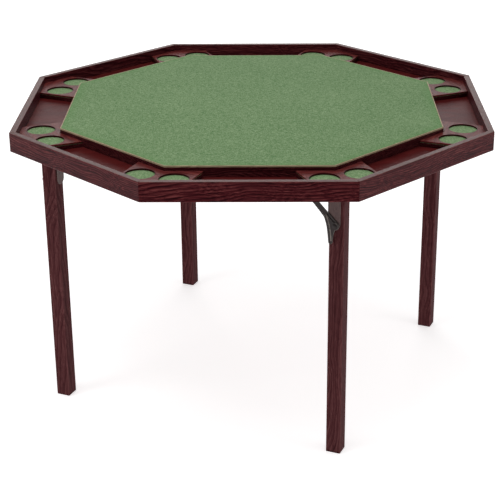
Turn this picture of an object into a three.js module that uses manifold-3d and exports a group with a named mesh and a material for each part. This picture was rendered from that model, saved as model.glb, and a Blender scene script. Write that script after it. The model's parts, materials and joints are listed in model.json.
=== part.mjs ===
// Eight-sided card table with a raised rim, a felt playing surface, chip trays and four
// folding legs.
//
// Units are millimetres and +Z is up. The origin is on the floor, under the middle of the
// table, and X runs along the front rail. Azimuths are degrees from +X towards +Y.
//
// Every leg has the same hardware. It is drawn in a frame of its own, centred on the leg's
// pivot bolt: u is the way the foot swings when the leg folds, v points along the bolt to
// the side that carries the brace, and w is up.

import * as THREE from "three";
import { mergeVertices } from "three/addons/utils/BufferGeometryUtils.js";
import Module from "manifold-3d";

const wasm = await Module();
wasm.setup();

// ---- driving dimensions -------------------------------------------------------------------

const SIDES = 8;
const HALF_SIDE = Math.PI / SIDES;
const TABLE_WIDTH = 1220;
const TABLE_HEIGHT = 762;
const GAP = 0.3;

// how finely round edges are drawn, and how close two vertices are that count as one
const ROUND_SEGMENTS = 16;
const SMALL_ROUND_SEGMENTS = 8;
const MERGE_DISTANCE = 1e-4;

const RAIL_HEIGHT = 50;
const RAIL_THICKNESS = 16;

// levels of the layers, each measured down from the top of the rim
const FELT_DEPTH = 4;
const FELT_THICKNESS = 1.2;
const PLAYING_PANEL_THICKNESS = 3;
const PLAYING_LIP_DEPTH = 4.2;
const CORNER_PANEL_DEPTH = 17;
const CORNER_PANEL_THICKNESS = 4.5;
const COASTER_FELT_THICKNESS = 1;
const TRAY_FLOOR_DEPTH = 33;
const BOTTOM_PANEL_THICKNESS = 6;

// distances from the table's centre to the flat sides
const PLAYING_PANEL_INRADIUS = 488;
const PLAYING_LIP_WIDTH = 2.4;
const FELT_EDGE_MARGIN = PLAYING_LIP_WIDTH + GAP;
const PLAYING_FRAME_WIDTH = 60;

const CORNER_HALF_WIDTH = 86;
const RECESS_RADIUS = 36;
const RECESS_RADIAL = 567;
const RECESS_SPACING = 90;
const COASTER_FELT_MARGIN = 1;

const LEG_WIDTH = 38;
const LEG_RADIUS = 556;
const PIVOT_DEPTH = 65;
const FIRST_LEG_AZIMUTH = 22.5;
const LEG_SPACING = 90;
const FOLD_TURN = 135;
const FOLD_ANGLE = Math.PI / 2;

const BOLT_RADIUS = 4;
const BOLT_HOLE_RADIUS = 4.3;
const BOLT_HEAD_RADIUS = 7;
const BOLT_HEAD_HEIGHT = 4.5;
const BOLT_NUT_TOP_RADIUS = 4.9;
const STUD_HEAD_RADIUS = 5.5;

const SHEET = 2;
const EAR_THICKNESS = 2.5;
const RUNNING_GAP = 0.5;

// the bracket under the top and its two ears
const BRACKET_HALF_LENGTH = 34;
const BRACKET_HALF_WIDTH = 40;
const EAR_HALF_BASE = 22;
const EAR_SHOULDER_DEPTH = 6;
const EAR_BOTTOM_RADIUS = 12;

// the steel channel round the leg's top
const CHANNEL_OPEN_SIDE = 10;
const CHANNEL_TOP_RADIUS = 17;
const CHANNEL_WEB_TOP = -6;
const CHANNEL_WEB_BOTTOM = -66;
const CHANNEL_LOW_CENTRE = -70;

// the brace: its pin on the leg, its pin in the track, and its widths
const BRACE_PIVOT = new THREE.Vector2(3, -75);
const BRACE_END = new THREE.Vector2(88, 15);
const BRACE_LOBE_RADIUS = 11;
const BRACE_TIP_RADIUS = 7.5;
const BRACE_HOLLOW_PLACE = 0.45;
const BRACE_HOLLOW_ASIDE = 0.5;
const GUIDE_PIN_RADIUS = 3;
const GUIDE_HEAD_RADIUS = 6;

// the finger lever: its eye on the brace's pin, its blunt top, and its round finger end
const LEVER_EYE_RADIUS = 10;
const LEVER_EYE_START = 0.42 * Math.PI;
const LEVER_EYE_FINISH = 1.44 * Math.PI;
const LEVER_TOP_INNER = new THREE.Vector2(24, -45);
const LEVER_TOP_OUTER = new THREE.Vector2(30, -53);
const LEVER_END = new THREE.Vector2(12.5, -116);
const LEVER_END_RADIUS = 5.5;

// the points that the lever's two long edges bend towards or pass through
const LEVER_NECK_BEND = new THREE.Vector2(15, -57);
const LEVER_INNER_BEND = new THREE.Vector2(6, -96);
const LEVER_LOWER_BEND = new THREE.Vector2(19, -102);
const LEVER_OUTER_MIDDLE = new THREE.Vector2(21, -88);
const LEVER_UPPER_BEND = new THREE.Vector2(22.5, -72);

const TRACK_SLOT_RADIUS = 3.4;
const TRACK_MARGIN = 12;
const TRACK_START_MARGIN = 6.5;
const TRACK_FLANGE_WIDTH = 18;
const TRACK_STEPS = 12;

// ---- values worked out from them ----------------------------------------------------------

const OUTER_INRADIUS = TABLE_WIDTH / 2;
const INNER_INRADIUS = OUTER_INRADIUS - RAIL_THICKNESS;
const RAIL_BOTTOM = TABLE_HEIGHT - RAIL_HEIGHT;
const FELT_TOP = TABLE_HEIGHT - FELT_DEPTH;
const FELT_BOTTOM = FELT_TOP - FELT_THICKNESS;
const PLAYING_PANEL_TOP = FELT_BOTTOM - GAP;
const PLAYING_PANEL_BOTTOM = PLAYING_PANEL_TOP - PLAYING_PANEL_THICKNESS;
const CORNER_PANEL_TOP = TABLE_HEIGHT - CORNER_PANEL_DEPTH;
const CORNER_PANEL_BOTTOM = CORNER_PANEL_TOP - CORNER_PANEL_THICKNESS;
const COASTER_FELT_TOP = CORNER_PANEL_BOTTOM - GAP;
const COASTER_FELT_BOTTOM = COASTER_FELT_TOP - COASTER_FELT_THICKNESS;
const TRAY_BOARD_TOP = COASTER_FELT_BOTTOM - GAP;
const TRAY_FLOOR = TABLE_HEIGHT - TRAY_FLOOR_DEPTH;
const TRAY_BOARD_BOTTOM = TRAY_FLOOR + GAP;
const BOTTOM_PANEL_BOTTOM = TRAY_FLOOR - BOTTOM_PANEL_THICKNESS;

const PIVOT_HEIGHT = TABLE_HEIGHT - PIVOT_DEPTH;
const UNDERSIDE = BOTTOM_PANEL_BOTTOM - GAP - PIVOT_HEIGHT;
const HALF_LEG = LEG_WIDTH / 2;
const CHANNEL_INSIDE = HALF_LEG + GAP;
const CHANNEL_OUTSIDE = CHANNEL_INSIDE + SHEET;
const BRACE_INSIDE = CHANNEL_OUTSIDE + RUNNING_GAP;
const BRACE_OUTSIDE = BRACE_INSIDE + EAR_THICKNESS;
const LEVER_INSIDE = BRACE_OUTSIDE + RUNNING_GAP;
const LEVER_OUTSIDE = LEVER_INSIDE + SHEET;
const TRACK_INSIDE = LEVER_OUTSIDE + RUNNING_GAP;
const TRACK_OUTSIDE = TRACK_INSIDE + EAR_THICKNESS;

// ---- materials ----------------------------------------------------------------------------

function finish(color, roughness, metalness) {
  return new THREE.MeshStandardMaterial({ color, roughness, metalness });
}

const stainedOak = finish(0x4b2426, 0.45, 0);
const stainedPanel = finish(0x6a2f2c, 0.4, 0);
const undersideBoard = finish(0x5c2d2a, 0.6, 0);
const paleEdge = finish(0xb9a283, 0.7, 0);
const greenFelt = finish(0x6e9169, 0.95, 0);
const greyPlate = finish(0x5a504e, 0.4, 0.9);
const blackSteel = finish(0x3c3230, 0.35, 0.9);

// ---- making and joining solids ------------------------------------------------------------

function shapeFrom(points) {
  return new THREE.Shape(points.map(([x, y]) => new THREE.Vector2(x, y)));
}

// a flat outline, extruded upwards between two heights
function layer(shape, bottom, top) {
  const options = { depth: top - bottom, bevelEnabled: false, curveSegments: ROUND_SEGMENTS };
  return new THREE.ExtrudeGeometry(shape, options).translate(0, 0, bottom);
}

// an outline in u and w, extruded along v between two distances from the leg's middle
function sidePlate(shape, from, to) {
  const options = { depth: to - from, bevelEnabled: false, curveSegments: SMALL_ROUND_SEGMENTS };
  const plate = new THREE.ExtrudeGeometry(shape, options);
  return plate.rotateX(Math.PI / 2).translate(0, to, 0);
}

// a round bar along v, centred on a point in u and w
function crossBar(centre, radius, from, to) {
  const bar = new THREE.CylinderGeometry(radius, radius, to - from, ROUND_SEGMENTS);
  return bar.translate(centre.x, (from + to) / 2, centre.y);
}

function solidFrom(geometry) {
  const bare = geometry.clone();
  bare.deleteAttribute("normal");
  bare.deleteAttribute("uv");
  const merged = mergeVertices(bare, MERGE_DISTANCE);
  return new wasm.Manifold(new wasm.Mesh({
    numProp: 3,
    vertProperties: Float32Array.from(merged.attributes.position.array),
    triVerts: Uint32Array.from(merged.index.array),
  }));
}

function geometryFrom(solid) {
  const { vertProperties, triVerts } = solid.getMesh();
  const geometry = new THREE.BufferGeometry();
  geometry.setAttribute("position", new THREE.BufferAttribute(vertProperties, 3));
  geometry.setIndex(new THREE.BufferAttribute(triVerts, 1));
  geometry.computeVertexNormals();
  return geometry;
}

function joined(...geometries) {
  const [first, ...others] = geometries.map(solidFrom);
  return geometryFrom(others.reduce((whole, piece) => whole.add(piece), first));
}

function part(name, geometry, material) {
  const mesh = new THREE.Mesh(geometry, material);
  mesh.name = name;
  return mesh;
}

function roundHole(centre, radius) {
  const hole = new THREE.Path();
  hole.absarc(centre.x, centre.y, radius, 0, 2 * Math.PI, true);
  return hole;
}

// ---- the top ------------------------------------------------------------------------------

// a regular octagon with flat sides facing X and Y, given by its distance to a side
function octagonPoints(inradius) {
  const circumradius = inradius / Math.cos(HALF_SIDE);
  return Array.from({ length: SIDES }, (_, index) => {
    const angle = HALF_SIDE * (2 * index + 1);
    return [circumradius * Math.cos(angle), circumradius * Math.sin(angle)];
  });
}

function octagon(inradius) {
  return shapeFrom(octagonPoints(inradius));
}

// distance from the centre to an octagon's side, along a line that runs beside the corner's
// own centre line at the given offset
function reach(inradius, offset) {
  return (inradius - Math.abs(offset) * Math.sin(HALF_SIDE)) / Math.cos(HALF_SIDE);
}

// one length of the rim, mitred at both ends; it lies along X at the rim's distance in Y
function railShape() {
  const halfLength = (inradius) => inradius * Math.tan(HALF_SIDE) - GAP / 2 / Math.cos(HALF_SIDE);
  const outer = halfLength(OUTER_INRADIUS);
  const inner = halfLength(INNER_INRADIUS);
  return shapeFrom([
    [inner, INNER_INRADIUS],
    [outer, OUTER_INRADIUS],
    [-outer, OUTER_INRADIUS],
    [-inner, INNER_INRADIUS],
  ]);
}

// the chevron between the rim and the playing panel, with its corner on the X axis
function chevronPoints(inner, outer, halfWidth) {
  return [
    [reach(inner, 0), 0],
    [reach(inner, halfWidth), -halfWidth],
    [reach(outer, halfWidth), -halfWidth],
    [reach(outer, 0), 0],
    [reach(outer, halfWidth), halfWidth],
    [reach(inner, halfWidth), halfWidth],
  ];
}

function cornerPanelShape() {
  const inner = PLAYING_PANEL_INRADIUS + GAP;
  const outer = INNER_INRADIUS - GAP;
  const shape = shapeFrom(chevronPoints(inner, outer, CORNER_HALF_WIDTH));
  for (const side of [-1, 1]) {
    const centre = new THREE.Vector2(RECESS_RADIAL, side * RECESS_SPACING / 2);
    shape.holes.push(roundHole(centre, RECESS_RADIUS));
  }
  return shape;
}

function coasterFeltShape() {
  const inner = PLAYING_PANEL_INRADIUS + COASTER_FELT_MARGIN;
  const outer = INNER_INRADIUS - COASTER_FELT_MARGIN;
  return shapeFrom(chevronPoints(inner, outer, CORNER_HALF_WIDTH - COASTER_FELT_MARGIN));
}

// the board that carries the corners, with a notch for the tray along each side
function trayBoardShape() {
  const outer = INNER_INRADIUS - GAP;
  const points = [];
  for (let corner = 0; corner < SIDES; corner += 1) {
    const angle = HALF_SIDE * (2 * corner + 1);
    const outline = [
      [reach(PLAYING_PANEL_INRADIUS, CORNER_HALF_WIDTH), -CORNER_HALF_WIDTH],
      [reach(outer, CORNER_HALF_WIDTH), -CORNER_HALF_WIDTH],
      [reach(outer, 0), 0],
      [reach(outer, CORNER_HALF_WIDTH), CORNER_HALF_WIDTH],
      [reach(PLAYING_PANEL_INRADIUS, CORNER_HALF_WIDTH), CORNER_HALF_WIDTH],
    ];
    for (const [along, across] of outline) {
      points.push([
        along * Math.cos(angle) - across * Math.sin(angle),
        along * Math.sin(angle) + across * Math.cos(angle),
      ]);
    }
  }
  return shapeFrom(points);
}

// an octagonal ring along the playing panel's edge
function ringShape(width) {
  const shape = octagon(PLAYING_PANEL_INRADIUS);
  const inside = octagonPoints(PLAYING_PANEL_INRADIUS - width);
  shape.holes.push(new THREE.Path(inside.map(([x, y]) => new THREE.Vector2(x, y))));
  return shape;
}

// the panel under the felt, with a low lip round the felt's edge
function playingPanelGeometry() {
  const board = octagon(PLAYING_PANEL_INRADIUS);
  const lip = ringShape(PLAYING_LIP_WIDTH);
  return joined(
    layer(board, PLAYING_PANEL_BOTTOM, PLAYING_PANEL_TOP),
    layer(lip, PLAYING_PANEL_BOTTOM, TABLE_HEIGHT - PLAYING_LIP_DEPTH),
  );
}

const RAIL_NAMES = [
  "back", "back_left", "left", "front_left", "front", "front_right", "right", "back_right",
];

function addTop(table) {
  RAIL_NAMES.forEach((name, index) => {
    const rail = part(`rail_${name}`, layer(railShape(), RAIL_BOTTOM, TABLE_HEIGHT), stainedOak);
    rail.rotation.z = 2 * HALF_SIDE * index;
    table.add(rail);
  });

  for (let corner = 0; corner < SIDES; corner += 1) {
    const panel = layer(cornerPanelShape(), CORNER_PANEL_BOTTOM, CORNER_PANEL_TOP);
    const felt = layer(coasterFeltShape(), COASTER_FELT_BOTTOM, COASTER_FELT_TOP);
    const turned = new THREE.Group();
    turned.rotation.z = HALF_SIDE * (2 * corner + 1);
    turned.add(part(`corner_panel_${corner + 1}`, panel, stainedPanel));
    turned.add(part(`coaster_felt_${corner + 1}`, felt, greenFelt));
    table.add(turned);
  }

  const bottom = layer(octagon(INNER_INRADIUS - GAP), BOTTOM_PANEL_BOTTOM, TRAY_FLOOR);
  table.add(part("bottom_panel", bottom, undersideBoard));

  const board = layer(trayBoardShape(), TRAY_BOARD_BOTTOM, TRAY_BOARD_TOP);
  table.add(part("tray_board", board, stainedPanel));

  const ring = ringShape(PLAYING_FRAME_WIDTH);
  const frame = layer(ring, TRAY_BOARD_TOP + GAP, PLAYING_PANEL_BOTTOM - GAP);
  table.add(part("playing_frame", frame, stainedOak));

  table.add(part("playing_panel", playingPanelGeometry(), paleEdge));

  const felt = octagon(PLAYING_PANEL_INRADIUS - FELT_EDGE_MARGIN);
  table.add(part("playing_felt", layer(felt, FELT_BOTTOM, FELT_TOP), greenFelt));
}

// ---- how the brace moves ------------------------------------------------------------------

const PIVOT = new THREE.Vector2(0, 0);

// The brace turns at a constant rate with the leg. Its far pin starts and ends at the same
// height, and the track's slot follows the pin in between.
const braceVector = BRACE_END.clone().sub(BRACE_PIVOT);
const BRACE_LENGTH = braceVector.length();
const BRACE_START_ANGLE = braceVector.angle();
const BRACE_FOLDED_ANGLE = Math.asin((BRACE_END.y - BRACE_PIVOT.x) / BRACE_LENGTH);

function guidePinAt(fraction) {
  const leg = BRACE_PIVOT.clone().rotateAround(PIVOT, fraction * FOLD_ANGLE);
  const angle = BRACE_START_ANGLE + fraction * (BRACE_FOLDED_ANGLE - BRACE_START_ANGLE);
  const reachOut = new THREE.Vector2(Math.cos(angle), Math.sin(angle));
  return leg.add(reachOut.multiplyScalar(BRACE_LENGTH));
}

function guidePinPath() {
  return Array.from({ length: TRACK_STEPS + 1 }, (_, step) => guidePinAt(step / TRACK_STEPS));
}

// ---- leg hardware -------------------------------------------------------------------------

// a square post whose top is round about the pivot bolt
function legGeometry() {
  const shape = new THREE.Shape();
  shape.moveTo(-HALF_LEG, -PIVOT_HEIGHT);
  shape.lineTo(HALF_LEG, -PIVOT_HEIGHT);
  shape.lineTo(HALF_LEG, 0);
  shape.absarc(0, 0, HALF_LEG, 0, Math.PI, false);
  shape.lineTo(-HALF_LEG, -PIVOT_HEIGHT);
  shape.holes.push(roundHole(PIVOT, BOLT_HOLE_RADIUS));
  return sidePlate(shape, -HALF_LEG, HALF_LEG);
}

// one cheek of the channel: round at the bolt, and a half circle at its lower end
function cheekShape() {
  const shape = new THREE.Shape();
  const lowRadius = (CHANNEL_OUTSIDE + CHANNEL_OPEN_SIDE) / 2;
  const topArcEnd = Math.PI / 2 + Math.asin(CHANNEL_OPEN_SIDE / CHANNEL_TOP_RADIUS);
  shape.moveTo(CHANNEL_OUTSIDE, CHANNEL_LOW_CENTRE);
  shape.lineTo(CHANNEL_OUTSIDE, CHANNEL_WEB_TOP);
  shape.lineTo(CHANNEL_TOP_RADIUS, 0);
  shape.absarc(0, 0, CHANNEL_TOP_RADIUS, 0, topArcEnd, false);
  shape.lineTo(-CHANNEL_OPEN_SIDE, CHANNEL_LOW_CENTRE);
  const middle = CHANNEL_OUTSIDE - lowRadius;
  shape.absarc(middle, CHANNEL_LOW_CENTRE, lowRadius, Math.PI, 2 * Math.PI, false);
  shape.holes.push(roundHole(PIVOT, BOLT_HOLE_RADIUS));
  return shape;
}

// the channel that hugs three sides of the leg, with the stud that the brace turns on
function legChannelGeometry() {
  const near = sidePlate(cheekShape(), CHANNEL_INSIDE, CHANNEL_OUTSIDE);
  const far = sidePlate(cheekShape(), -CHANNEL_OUTSIDE, -CHANNEL_INSIDE);
  const webHeight = CHANNEL_WEB_TOP - CHANNEL_WEB_BOTTOM;
  const web = new THREE.BoxGeometry(SHEET, 2 * CHANNEL_OUTSIDE, webHeight);
  web.translate(CHANNEL_INSIDE + SHEET / 2, 0, (CHANNEL_WEB_TOP + CHANNEL_WEB_BOTTOM) / 2);
  const headStart = LEVER_OUTSIDE + GAP;
  const stud = crossBar(BRACE_PIVOT, BOLT_RADIUS, CHANNEL_OUTSIDE - SHEET / 2, headStart + SHEET / 2);
  const head = crossBar(BRACE_PIVOT, STUD_HEAD_RADIUS, headStart, headStart + SHEET);
  return joined(near, web, far, stud, head);
}

function earShape() {
  const shape = new THREE.Shape();
  const shoulder = UNDERSIDE - EAR_SHOULDER_DEPTH;
  shape.moveTo(EAR_HALF_BASE, UNDERSIDE);
  shape.lineTo(-EAR_HALF_BASE, UNDERSIDE);
  shape.lineTo(-EAR_HALF_BASE, shoulder);
  shape.lineTo(-EAR_BOTTOM_RADIUS, 0);
  shape.absarc(0, 0, EAR_BOTTOM_RADIUS, Math.PI, 2 * Math.PI, false);
  shape.lineTo(EAR_HALF_BASE, shoulder);
  shape.lineTo(EAR_HALF_BASE, UNDERSIDE);
  shape.holes.push(roundHole(PIVOT, BOLT_HOLE_RADIUS));
  return shape;
}

// the bracket under the top: a plate with two ears that hold the pivot bolt
function bracketGeometry() {
  const plate = new THREE.BoxGeometry(2 * BRACKET_HALF_LENGTH, 2 * BRACKET_HALF_WIDTH, SHEET);
  plate.translate(0, 0, UNDERSIDE - SHEET / 2);
  const near = sidePlate(earShape(), BRACE_INSIDE, BRACE_OUTSIDE);
  const far = sidePlate(earShape(), -BRACE_OUTSIDE, -BRACE_INSIDE);
  return joined(plate, near, far);
}

// the pivot bolt, with a domed head at one end and its nut at the other
function pivotBoltGeometry() {
  const shoulder = BRACE_OUTSIDE + GAP;
  const dome = BOLT_HEAD_HEIGHT / 3;
  const end = shoulder + BOLT_HEAD_HEIGHT;
  const profile = [
    [0, -end],
    [BOLT_HEAD_RADIUS, -end],
    [BOLT_HEAD_RADIUS, -shoulder],
    [BOLT_RADIUS, -shoulder],
    [BOLT_RADIUS, shoulder],
    [BOLT_HEAD_RADIUS, shoulder],
    [BOLT_HEAD_RADIUS, end - dome],
    [BOLT_NUT_TOP_RADIUS, end],
    [0, end],
  ];
  const points = profile.map(([x, y]) => new THREE.Vector2(x, y));
  return new THREE.LatheGeometry(points, ROUND_SEGMENTS);
}

// a point beside the straight line from the brace's pivot to its far pin
function besideBrace(along, aside) {
  const direction = braceVector.clone().normalize();
  const normal = new THREE.Vector2(direction.y, -direction.x);
  return BRACE_PIVOT.clone()
    .add(direction.multiplyScalar(along))
    .add(normal.multiplyScalar(aside));
}

// The brace is wide at the leg and narrow at the track. Its inner edge is straight and its
// outer edge is hollow, like a gusset.
function braceShape() {
  const shape = new THREE.Shape();
  const angle = BRACE_START_ANGLE;
  const quarter = Math.PI / 2;
  const tipOuter = besideBrace(BRACE_LENGTH, BRACE_TIP_RADIUS);
  const lobeOuter = besideBrace(0, BRACE_LOBE_RADIUS);
  const tipInner = besideBrace(BRACE_LENGTH, -BRACE_TIP_RADIUS);
  const hollow = besideBrace(BRACE_LENGTH * BRACE_HOLLOW_PLACE, BRACE_HOLLOW_ASIDE);
  shape.moveTo(tipOuter.x, tipOuter.y);
  const tip = [BRACE_END.x, BRACE_END.y, BRACE_TIP_RADIUS];
  shape.absarc(...tip, angle - quarter, angle + quarter, false);
  shape.lineTo(tipInner.x, tipInner.y);
  const lobe = [BRACE_PIVOT.x, BRACE_PIVOT.y, BRACE_LOBE_RADIUS];
  shape.absarc(...lobe, angle + quarter, angle + 3 * quarter, false);
  shape.lineTo(lobeOuter.x, lobeOuter.y);
  shape.quadraticCurveTo(hollow.x, hollow.y, tipOuter.x, tipOuter.y);
  shape.holes.push(roundHole(BRACE_PIVOT, BOLT_HOLE_RADIUS));
  return shape;
}

function braceGeometry() {
  const strap = sidePlate(braceShape(), BRACE_INSIDE, BRACE_OUTSIDE);
  const headStart = TRACK_OUTSIDE + RUNNING_GAP;
  const rooted = BRACE_OUTSIDE - EAR_THICKNESS / 2;
  const pin = crossBar(BRACE_END, GUIDE_PIN_RADIUS, rooted, headStart + SHEET / 2);
  const head = crossBar(BRACE_END, GUIDE_HEAD_RADIUS, headStart, headStart + SHEET);
  return joined(strap, pin, head);
}

// the finger lever that frees the brace: a curved blade with an eye for the brace's pin
function leverShape() {
  const shape = new THREE.Shape();
  const bend = (through, to) => shape.quadraticCurveTo(through.x, through.y, to.x, to.y);
  const eye = [BRACE_PIVOT.x, BRACE_PIVOT.y, LEVER_EYE_RADIUS];
  const end = [LEVER_END.x, LEVER_END.y, LEVER_END_RADIUS];
  const toEye = new THREE.Vector2(LEVER_EYE_RADIUS, 0);
  const eyeTop = BRACE_PIVOT.clone().add(toEye.rotateAround(PIVOT, LEVER_EYE_START));
  const endInner = LEVER_END.clone().sub(new THREE.Vector2(LEVER_END_RADIUS, 0));
  shape.moveTo(LEVER_TOP_OUTER.x, LEVER_TOP_OUTER.y);
  shape.lineTo(LEVER_TOP_INNER.x, LEVER_TOP_INNER.y);
  bend(LEVER_NECK_BEND, eyeTop);
  shape.absarc(...eye, LEVER_EYE_START, LEVER_EYE_FINISH, false);
  bend(LEVER_INNER_BEND, endInner);
  shape.absarc(...end, Math.PI, 2 * Math.PI, false);
  bend(LEVER_LOWER_BEND, LEVER_OUTER_MIDDLE);
  bend(LEVER_UPPER_BEND, LEVER_TOP_OUTER);
  shape.holes.push(roundHole(BRACE_PIVOT, BOLT_HOLE_RADIUS));
  return shape;
}

function leverGeometry() {
  return sidePlate(leverShape(), LEVER_INSIDE, LEVER_OUTSIDE);
}

// the slot's outline: the guide pin's path, offset to both sides and closed by round ends
function trackSlot() {
  const path = guidePinPath();
  const tangents = path.map((point, step) => {
    const before = path[Math.max(step - 1, 0)];
    const after = path[Math.min(step + 1, TRACK_STEPS)];
    return after.clone().sub(before).normalize();
  });
  const offset = (step, side) => {
    const normal = new THREE.Vector2(-tangents[step].y, tangents[step].x);
    return path[step].clone().add(normal.multiplyScalar(side * TRACK_SLOT_RADIUS));
  };
  const outline = new THREE.Path();
  const start = offset(0, 1);
  outline.moveTo(start.x, start.y);
  for (let step = 1; step <= TRACK_STEPS; step += 1) {
    const point = offset(step, 1);
    outline.lineTo(point.x, point.y);
  }
  const last = path[TRACK_STEPS];
  const lastAngle = tangents[TRACK_STEPS].angle();
  const quarter = Math.PI / 2;
  outline.absarc(last.x, last.y, TRACK_SLOT_RADIUS, lastAngle + quarter, lastAngle - quarter, true);
  for (let step = TRACK_STEPS; step >= 0; step -= 1) {
    const point = offset(step, -1);
    outline.lineTo(point.x, point.y);
  }
  const first = path[0];
  const firstAngle = tangents[0].angle();
  const back = [firstAngle - quarter, firstAngle - 3 * quarter];
  outline.absarc(first.x, first.y, TRACK_SLOT_RADIUS, ...back, true);
  return outline;
}

// the track: a slotted plate hanging from a flange under the top
function trackGeometry() {
  const low = Math.min(...guidePinPath().map((point) => point.y));
  const left = BRACE_END.x - TRACK_START_MARGIN;
  const right = guidePinAt(1).x + TRACK_MARGIN;
  const bottom = low - TRACK_MARGIN;
  const web = shapeFrom([[left, bottom], [right, bottom], [right, UNDERSIDE], [left, UNDERSIDE]]);
  web.holes.push(trackSlot());
  const flange = new THREE.BoxGeometry(right - left, TRACK_FLANGE_WIDTH, SHEET);
  flange.translate((left + right) / 2, TRACK_INSIDE + TRACK_FLANGE_WIDTH / 2, UNDERSIDE - SHEET / 2);
  return joined(sidePlate(web, TRACK_INSIDE, TRACK_OUTSIDE), flange);
}

const LEG_NAMES = ["right", "back", "left", "front"];

function addLeg(table, name, azimuth) {
  const angle = THREE.MathUtils.degToRad(azimuth);
  const leg = new THREE.Group();
  leg.position.set(LEG_RADIUS * Math.cos(angle), LEG_RADIUS * Math.sin(angle), PIVOT_HEIGHT);
  leg.rotation.z = THREE.MathUtils.degToRad(azimuth - FOLD_TURN);
  leg.add(part(`leg_${name}`, legGeometry(), stainedOak));
  leg.add(part(`leg_channel_${name}`, legChannelGeometry(), greyPlate));
  leg.add(part(`leg_bracket_${name}`, bracketGeometry(), greyPlate));
  leg.add(part(`pivot_bolt_${name}`, pivotBoltGeometry(), blackSteel));
  leg.add(part(`brace_${name}`, braceGeometry(), blackSteel));
  leg.add(part(`lock_lever_${name}`, leverGeometry(), blackSteel));
  leg.add(part(`brace_track_${name}`, trackGeometry(), greyPlate));
  table.add(leg);
}

// ---- assembly -----------------------------------------------------------------------------

const table = new THREE.Group();
addTop(table);
LEG_NAMES.forEach((name, index) => addLeg(table, name, FIRST_LEG_AZIMUTH + LEG_SPACING * index));

export default table;
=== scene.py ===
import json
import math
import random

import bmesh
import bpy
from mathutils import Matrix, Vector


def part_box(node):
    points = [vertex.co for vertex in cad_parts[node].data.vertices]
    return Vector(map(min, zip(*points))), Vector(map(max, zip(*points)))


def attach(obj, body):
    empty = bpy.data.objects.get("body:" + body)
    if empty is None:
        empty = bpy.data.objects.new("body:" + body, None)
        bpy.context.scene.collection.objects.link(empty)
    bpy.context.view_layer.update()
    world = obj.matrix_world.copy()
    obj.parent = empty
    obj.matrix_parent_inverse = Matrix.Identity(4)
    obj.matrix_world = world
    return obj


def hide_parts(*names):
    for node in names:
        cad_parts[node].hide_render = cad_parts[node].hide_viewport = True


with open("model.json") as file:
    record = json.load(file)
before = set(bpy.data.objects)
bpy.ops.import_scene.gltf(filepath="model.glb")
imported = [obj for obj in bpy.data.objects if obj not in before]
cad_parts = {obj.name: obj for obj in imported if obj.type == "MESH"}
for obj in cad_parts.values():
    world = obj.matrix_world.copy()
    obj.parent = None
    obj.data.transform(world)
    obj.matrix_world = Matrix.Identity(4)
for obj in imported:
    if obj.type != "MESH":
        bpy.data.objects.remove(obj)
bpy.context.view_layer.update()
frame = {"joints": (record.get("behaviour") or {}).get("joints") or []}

# Folding octagonal card table: oak rim, felt top, chip trays, coaster recesses, and four
# square legs on steel folding hardware. Lengths are metres. Every piece carries its own
# grain coordinates, so a pattern runs along the piece wherever it is placed.
#
# A piece of the top is drawn with X along the rim and Y outwards, or with X towards a corner,
# and then turned into place. The hardware of a leg is drawn round its pivot bolt: u is the
# way the foot swings when the leg folds, v is along the bolt, and w is up.

MM = 0.001
SIDES = 8
HALF_SIDE = math.pi / SIDES
GAP = 0.3 * MM

# ---- sizes taken from the frame -----------------------------------------------------------

rail_low, rail_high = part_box("rail_front")
OUTER = -rail_low.y
INNER = -rail_high.y
TOP = rail_high.z

felt_low, felt_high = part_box("playing_felt")
panel_low, panel_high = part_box("playing_panel")
wall_low, wall_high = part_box("playing_frame")
board_low, board_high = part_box("tray_board")
floor_low, floor_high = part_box("bottom_panel")
corner_low, corner_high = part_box("corner_panel_1")
coaster_low, coaster_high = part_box("coaster_felt_1")
PANEL_INRADIUS = panel_high.x

# ---- sizes of the details -----------------------------------------------------------------

CORNER_HALF_WIDTH = 86 * MM
RECESS_RADIUS = 36 * MM
RECESS_RADIAL = 567 * MM
RECESS_OFFSET = 45 * MM
COASTER_MARGIN = 1 * MM
LIP_WIDTH = 2.4 * MM
WALL_RING_WIDTH = 60 * MM

# how far below its top the rim is painted lighter, as a painted sheen in place of the reflection the
# top catches
PAINTED_SHEEN_DEPTH = 0.5 * MM

LEG_HALF = 19 * MM
SHEET = 2 * MM
STRAP = 2.5 * MM
RUNNING_GAP = 0.5 * MM
CHANNEL_INSIDE = LEG_HALF + GAP
CHANNEL_OUTSIDE = CHANNEL_INSIDE + SHEET
BRACE_INSIDE = CHANNEL_OUTSIDE + RUNNING_GAP
BRACE_OUTSIDE = BRACE_INSIDE + STRAP
LEVER_INSIDE = BRACE_OUTSIDE + RUNNING_GAP
LEVER_OUTSIDE = LEVER_INSIDE + SHEET
TRACK_INSIDE = LEVER_OUTSIDE + RUNNING_GAP
TRACK_OUTSIDE = TRACK_INSIDE + STRAP

# how far the edges of the metal plates are rounded, and how wide the border is over which their edges
# are painted lighter, partly as wear and partly as a painted highlight
SHEET_EDGE = 0.5 * MM
SHEET_BORDER = 1 * MM

BOLT_RADIUS = 4 * MM
BOLT_HOLE_RADIUS = 4.3 * MM
BOLT_HEAD_RADIUS = 7 * MM
BOLT_HEAD_HEIGHT = 4.5 * MM
NUT_RADIUS = 6.9 * MM
NUT_HEIGHT = 3.4 * MM
GUIDE_PIN_RADIUS = 3 * MM

# the bevelled heads of the stud and the guide pin, as radii and heights
STUD_HEAD = ((5.5 * MM, 0), (5.5 * MM, 0.9 * MM), (4.4 * MM, 1.7 * MM), (0, 2 * MM))
GUIDE_HEAD = ((6 * MM, 0), (6 * MM, 1 * MM), (4.6 * MM, 1.8 * MM), (0, 2 * MM))

SCREW_RADIUS = 4.2 * MM
SCREW_HEIGHT = 1.5 * MM

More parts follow.
